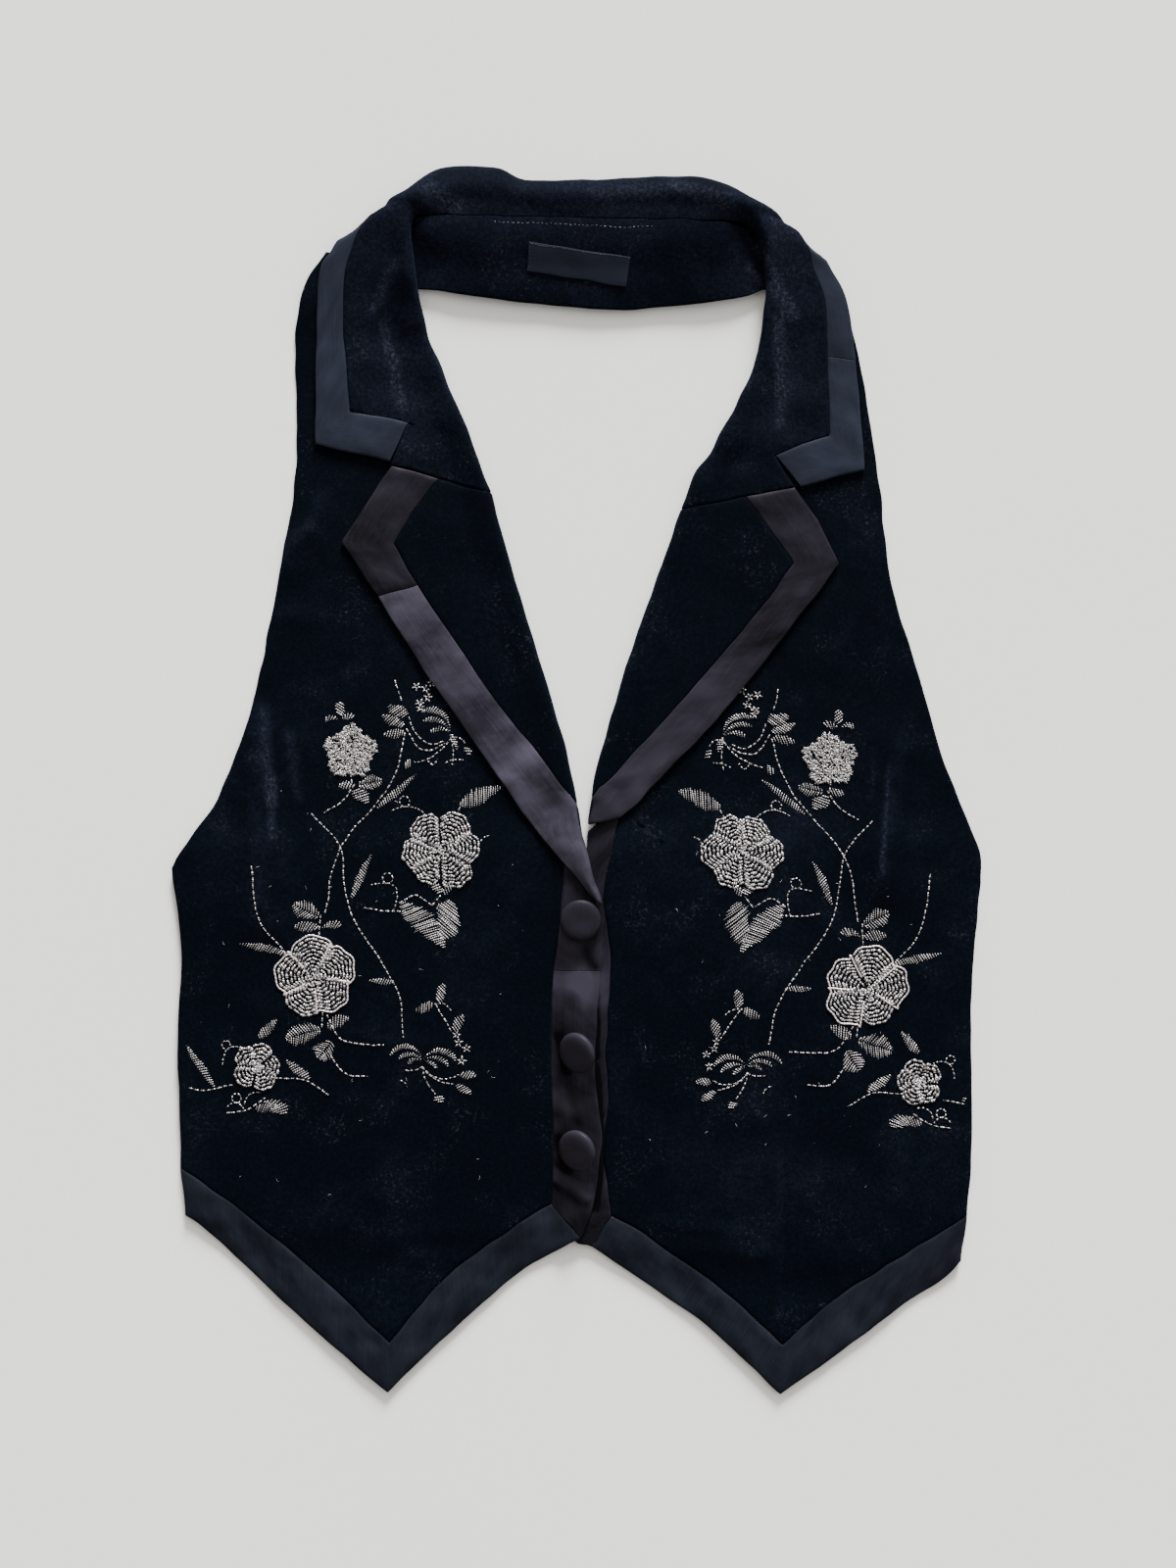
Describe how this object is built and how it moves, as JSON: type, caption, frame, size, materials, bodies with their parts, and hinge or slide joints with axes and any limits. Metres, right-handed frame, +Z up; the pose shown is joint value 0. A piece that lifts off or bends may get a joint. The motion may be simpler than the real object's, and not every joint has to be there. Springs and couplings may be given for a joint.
{
  "type": "embroidered waistcoat",
  "caption": "Halter-neck velvet waistcoat with folded lapels, satin edge bands, covered buttons and silver-thread flowers, laid flat with its right front lapped over the left",
  "frame": {"origin": "centre of the footprint, on the surface it lies on", "axes": "+Z up from the surface, +Y from the hem towards the collar, +X towards the wearer's left front"},
  "size_m": [0.4119, 0.6241, 0.0172],
  "materials": {
    "velvet": "near-black navy silk-look velvet with a soft blue-grey sheen",
    "satin": "charcoal satin with a violet-grey sheen",
    "button_satin": "charcoal satin stretched over a domed button",
    "woven_label": "black woven ribbon, blank"
  },
  "bodies": {
    "root": {"back_panel": "velvet", "right_front": "velvet", "left_front": "velvet", "right_lapel": "velvet", "left_lapel": "velvet", "back_neck_band": "velvet", "upper_collar": "velvet", "right_hem_band": "satin", "left_hem_band": "satin", "right_placket_band_upper": "satin", "right_placket_band_lower": "satin", "left_placket_band": "satin", "right_lapel_band_upper": "satin", "right_lapel_band_lower": "satin", "left_lapel_band": "satin", "right_collar_band": "satin", "back_collar_band": "satin", "left_collar_band_upper": "satin", "left_collar_band_lower": "satin", "button_top": "button_satin", "button_middle": "button_satin", "button_bottom": "button_satin", "neck_label": "woven_label"}
  },
  "joints": []
}
